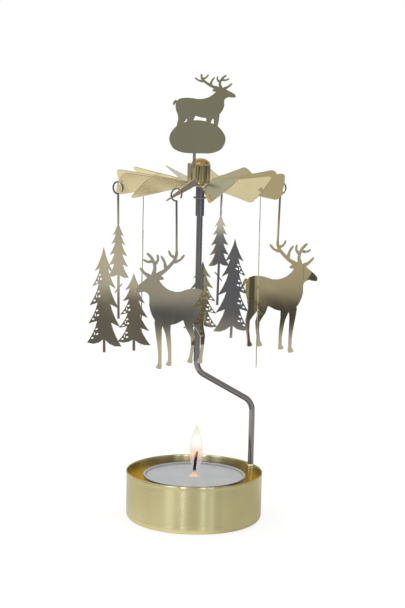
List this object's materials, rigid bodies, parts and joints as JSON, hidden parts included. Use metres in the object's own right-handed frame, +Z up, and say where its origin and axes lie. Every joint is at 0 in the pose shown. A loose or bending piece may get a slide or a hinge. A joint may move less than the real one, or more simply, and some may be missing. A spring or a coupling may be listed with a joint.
{
  "type": "candle carousel",
  "caption": "Brass tea light holder whose bent wire carries a bladed fan on a needle, hung with flat fir tree and reindeer pendants and topped by a reindeer.",
  "frame": {"origin": "middle of the cup's flat underside, on the axis of the cup and the needle", "axes": "+Z up along the needle; -Y towards the viewer and +X to the viewer's right, as in the picture"},
  "size_m": [0.0859, 0.0782, 0.1681],
  "materials": {
    "cup_brass": "pale, smooth and half bright, spun round the axis",
    "brass": "pale, bright rolled sheet with cut edges",
    "steel": "dark drawn wire, half bright",
    "aluminium": "thin drawn foil",
    "wax": "white candle wax, satin",
    "wick": "charred cotton above, waxed pale below"
  },
  "bodies": {
    "base": {"holder_cup": "cup_brass", "wire_stand": "steel", "pivot_sleeve": "steel", "stop_collar": "steel", "pivot_needle": "steel"},
    "tealight": {"tealight_cup": "aluminium", "tealight_wax": "wax", "wick_sustainer": "aluminium", "tealight_wick": "wick"},
    "carousel": {"hub_cap": "brass", "fan_disc": "brass", "topper": "brass"},
    "pendant_reindeer_1": {"pendant_reindeer_1": "brass"},
    "pendant_trees_1": {"pendant_trees_1": "brass"},
    "pendant_reindeer_2": {"pendant_reindeer_2": "brass"},
    "pendant_trees_2": {"pendant_trees_2": "brass"},
    "pendant_reindeer_3": {"pendant_reindeer_3": "brass"},
    "pendant_trees_3": {"pendant_trees_3": "brass"}
  },
  "joints": [
    {"name": "carousel_spin", "type": "hinge", "parent": "base", "child": "carousel", "pos_m": [0, 0, 0.1364], "axis": [0, 0, 1], "continuous": true},
    {"name": "tealight_lift", "type": "slide", "parent": "base", "child": "tealight", "axis": [0, 0, 1], "range_m": [0, 0.022]},
    {"name": "pendant_reindeer_1_swing", "type": "hinge", "parent": "carousel", "child": "pendant_reindeer_1", "pos_m": [0.03015, 0.00776, 0.12602], "axis": [-0.4939, -0.8695, 0], "range_deg": [-10, 25]},
    {"name": "pendant_trees_1_swing", "type": "hinge", "parent": "carousel", "child": "pendant_trees_1", "pos_m": [0.0084, 0.0299, 0.12602], "axis": [0.4446, -0.8957, 0], "range_deg": [-10, 25]},
    {"name": "pendant_reindeer_2_swing", "type": "hinge", "parent": "carousel", "child": "pendant_reindeer_2", "pos_m": [-0.02182, 0.02223, 0.12602], "axis": [0.9997, 0.0244, 0], "range_deg": [-10, 25]},
    {"name": "pendant_trees_2_swing", "type": "hinge", "parent": "carousel", "child": "pendant_trees_2", "pos_m": [-0.03009, -0.00767, 0.12602], "axis": [0.5534, 0.8329, 0], "range_deg": [-10, 25]},
    {"name": "pendant_reindeer_3_swing", "type": "hinge", "parent": "carousel", "child": "pendant_reindeer_3", "pos_m": [-0.0083, -0.03008, 0.12602], "axis": [-0.565, 0.8251, 0], "range_deg": [-10, 25]},
    {"name": "pendant_trees_3_swing", "type": "hinge", "parent": "carousel", "child": "pendant_trees_3", "pos_m": [0.02174, -0.02223, 0.12602], "axis": [-0.9996, 0.0279, 0], "range_deg": [-10, 25]}
  ]
}
